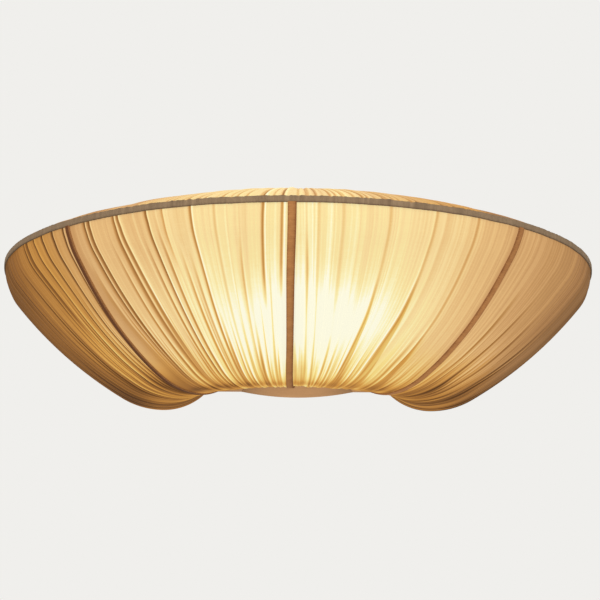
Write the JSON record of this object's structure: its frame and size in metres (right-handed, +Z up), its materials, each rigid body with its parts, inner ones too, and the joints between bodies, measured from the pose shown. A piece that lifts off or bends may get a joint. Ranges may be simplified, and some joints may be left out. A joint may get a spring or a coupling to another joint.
{
  "type": "wall lamp",
  "caption": "Half-round wall lamp with a pleated cloth shade on a wire frame, ribbon rim and upright lampholders on a wall plate.",
  "frame": {"origin": "middle of the wall plate's back face, level with the shade's rim", "axes": "+X to the right along the wall, +Y into the wall, +Z up"},
  "size_m": [0.6198, 0.3121, 0.2108],
  "materials": {
    "plate_paint": "satin powder coat",
    "black_rubber": "matte",
    "block_plastic": "matte",
    "plated_screws": "zinc plated",
    "brass_parts": "satin",
    "tinned_terminal": "tinned",
    "plated_nuts": "zinc plated",
    "holder_plastic": "gloss",
    "wire_brown": "matte",
    "wire_blue": "matte",
    "wire_green": "matte",
    "bulb_glass": "frosted, lit",
    "bulb_cap": "satin",
    "bulb_insulator": "black glass",
    "frame_wire": "white dip coat",
    "lining_cloth": "smooth, lit from inside",
    "pleated_cloth": "pleated voile, lit from inside",
    "rim_tape": "ribbed tape",
    "rib_tape": "ribbed tape",
    "base_cloth": "smooth cloth",
    "knob_brass": "satin, knurled"
  },
  "bodies": {
    "wall_fitting": {"wall_plate": "plate_paint", "cable_grommet": "black_rubber", "terminal_block": "block_plastic", "terminal_screws": "plated_screws", "block_screws": "plated_screws", "earth_screw": "brass_parts", "earth_washer": "brass_parts", "earth_ring_terminal": "tinned_terminal", "lamp_bracket": "plate_paint", "bracket_screws": "plated_screws", "press_nuts": "plated_nuts", "holder_body_left": "holder_plastic", "holder_body_right": "holder_plastic", "screw_shell_left": "brass_parts", "screw_shell_right": "brass_parts", "centre_contact_left": "brass_parts", "centre_contact_right": "brass_parts", "holder_nipples": "plated_nuts", "holder_locknuts": "plated_nuts", "wires_live": "wire_brown", "wires_neutral": "wire_blue", "wire_earth": "wire_green"},
    "shade": {"rim_ring": "frame_wire", "crest_ring": "frame_wire", "recess_ring": "frame_wire", "top_ring": "frame_wire", "back_frame": "frame_wire", "stay_left": "frame_wire", "stay_right": "frame_wire", "rib_centre": "frame_wire", "rib_left": "frame_wire", "rib_right": "frame_wire", "rib_wall_left": "frame_wire", "rib_wall_right": "frame_wire", "lug_left": "frame_wire", "lug_right": "frame_wire", "lining_lower": "lining_cloth", "lining_upper": "lining_cloth", "cover_lower_1": "pleated_cloth", "cover_lower_2": "pleated_cloth", "cover_lower_3": "pleated_cloth", "cover_lower_4": "pleated_cloth", "cover_upper": "pleated_cloth", "rim_ribbon": "rim_tape", "rib_tape_centre": "rib_tape", "rib_tape_left": "rib_tape", "rib_tape_right": "rib_tape", "bottom_disc": "base_cloth", "bottom_cap": "base_cloth"},
    "thumb_screw_left": {"thumb_screw_left": "knob_brass"},
    "thumb_screw_right": {"thumb_screw_right": "knob_brass"},
    "bulb_left": {"bulb_glass_left": "bulb_glass", "bulb_cap_left": "bulb_cap", "bulb_insulator_left": "bulb_insulator", "bulb_contact_left": "brass_parts"},
    "bulb_right": {"bulb_glass_right": "bulb_glass", "bulb_cap_right": "bulb_cap", "bulb_insulator_right": "bulb_insulator", "bulb_contact_right": "brass_parts"}
  },
  "joints": [
    {"name": "shade_pull", "type": "slide", "parent": "wall_fitting", "child": "shade", "axis": [0, -1, 0], "range_m": [0, 0.12]},
    {"name": "thumb_screw_turn_left", "type": "hinge", "parent": "shade", "child": "thumb_screw_left", "pos_m": [-0.08, -0.007, 0], "axis": [0, -1, 0], "range_deg": [0, 1800]},
    {"name": "thumb_screw_turn_right", "type": "hinge", "parent": "shade", "child": "thumb_screw_right", "pos_m": [0.08, -0.007, 0], "axis": [0, -1, 0], "range_deg": [0, 1800]},
    {"name": "bulb_turn_left", "type": "hinge", "parent": "wall_fitting", "child": "bulb_left", "pos_m": [-0.038, -0.07, 0], "axis": [0, 0, -1], "range_deg": [0, 1800]},
    {"name": "bulb_turn_right", "type": "hinge", "parent": "wall_fitting", "child": "bulb_right", "pos_m": [0.038, -0.07, 0], "axis": [0, 0, -1], "range_deg": [0, 1800]}
  ]
}
